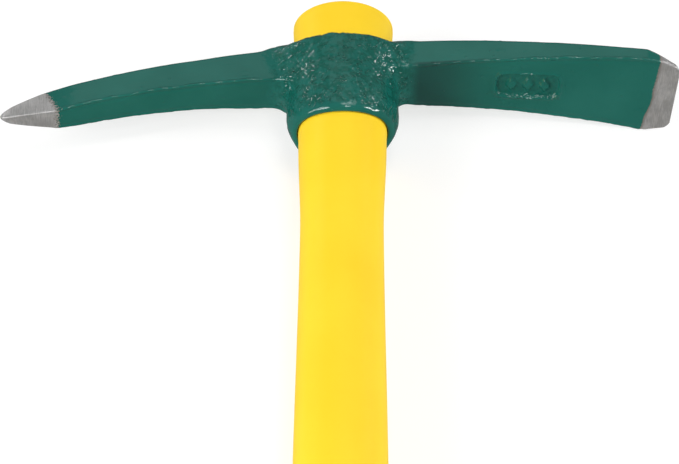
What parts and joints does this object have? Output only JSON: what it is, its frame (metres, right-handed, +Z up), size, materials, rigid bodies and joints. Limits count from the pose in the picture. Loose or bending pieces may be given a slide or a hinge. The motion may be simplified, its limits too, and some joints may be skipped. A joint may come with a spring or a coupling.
{
  "type": "pick mattock",
  "caption": "Hand digging tool: a forged head with a pick point and an adze blade, slip-fitted on the flared end of a straight two-handed handle with a rubber grip.",
  "frame": {"origin": "the floor point under the middle of the tool's box, with the tool lying on its side", "axes": "+Y along the handle towards the head's end, +X towards the adze blade, +Z up from the floor"},
  "size_m": [0.405, 0.914, 0.061],
  "materials": {
    "green_enamel": "gloss",
    "yellow_plastic": "satin",
    "fibreglass": "matte",
    "pale_nylon": "matte",
    "black_plastic": "satin",
    "black_rubber": "matte"
  },
  "bodies": {
    "handle": {"handle_jacket": "yellow_plastic", "fibreglass_core": "fibreglass", "flare_insert": "pale_nylon", "top_plug": "yellow_plastic", "grip_sleeve": "black_rubber", "butt_cap": "black_plastic"},
    "head": {"pick_mattock_head": "green_enamel"}
  },
  "joints": [
    {"name": "head_slide", "type": "slide", "parent": "handle", "child": "head", "axis": [0, -1, 0], "range_m": [0, 0.9]}
  ]
}
